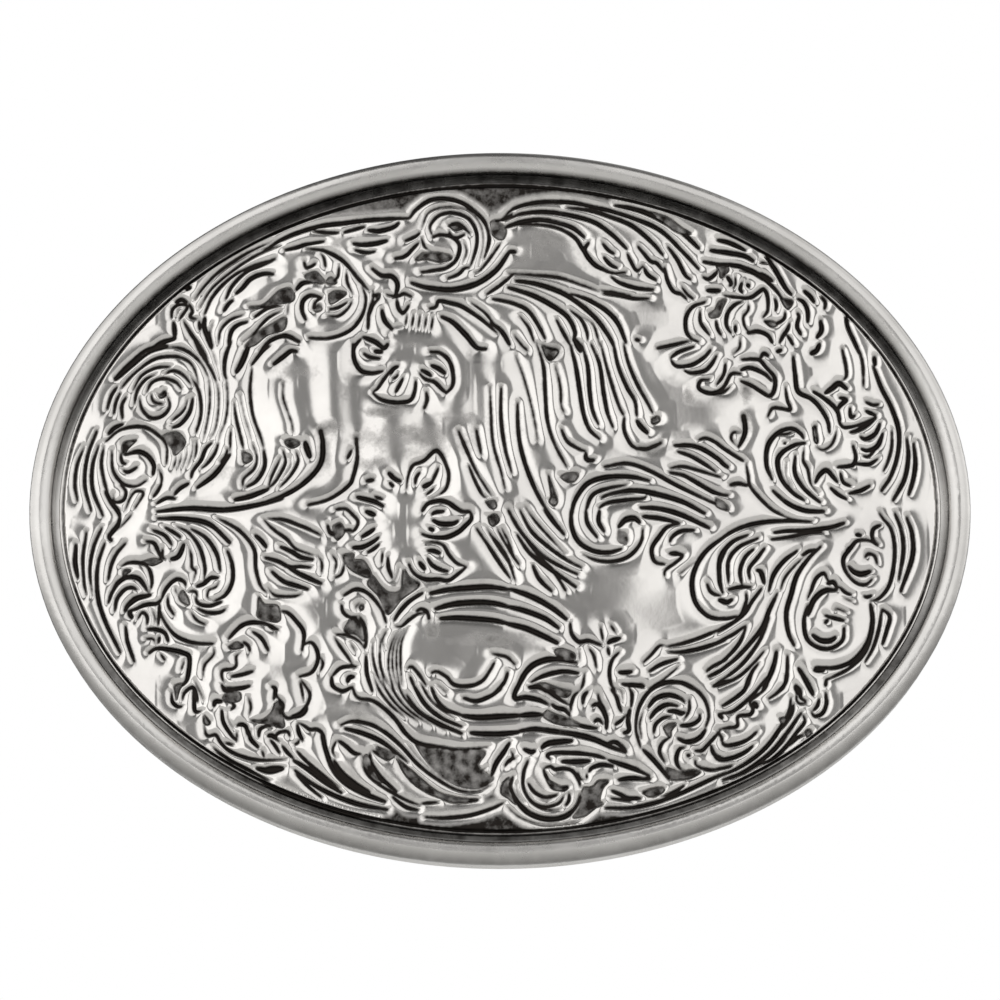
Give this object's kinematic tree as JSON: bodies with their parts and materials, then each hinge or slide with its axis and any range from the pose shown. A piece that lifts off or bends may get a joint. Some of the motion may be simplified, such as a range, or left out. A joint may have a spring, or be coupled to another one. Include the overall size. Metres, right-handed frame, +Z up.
{
  "type": "belt buckle",
  "caption": "Oval Western trophy belt buckle: cast beaded rim, struck floral scroll face, swinging strap bail and belt-hole hook on the back.",
  "frame": {"origin": "middle of the rear surface, which lies against the belt", "axes": "+X to the right and +Z up as the buckle is worn and seen from the front; the face looks along -Y"},
  "size_m": [0.0952, 0.0143, 0.0734],
  "materials": {
    "rim_metal": "satin silver plate",
    "face_metal": "polished high spots, blackened recesses",
    "core_filler": "dull bonding filler",
    "back_metal": "brushed nickel plate",
    "fitting_steel": "nickel plated steel",
    "loop_steel": "bright nickel plated wire",
    "rivet_steel": "nickel plated rivet"
  },
  "bodies": {
    "buckle": {"rim_frame": "rim_metal", "face_plate": "face_metal", "filler_core": "core_filler", "back_plate": "back_metal", "bail_saddle_upper": "fitting_steel", "bail_saddle_lower": "fitting_steel", "bail_rivet_1": "rivet_steel", "bail_rivet_2": "rivet_steel", "bail_rivet_3": "rivet_steel", "bail_rivet_4": "rivet_steel", "hook_foot": "fitting_steel", "hook_post": "loop_steel", "hook_rivet_1": "rivet_steel", "hook_rivet_2": "rivet_steel"},
    "bail": {"bail_loop": "loop_steel"}
  },
  "joints": [
    {"name": "bail_swing", "type": "hinge", "parent": "buckle", "child": "bail", "pos_m": [0.02, 0.00192, 0], "axis": [0, 0, 1], "range_deg": [0, 165]}
  ]
}
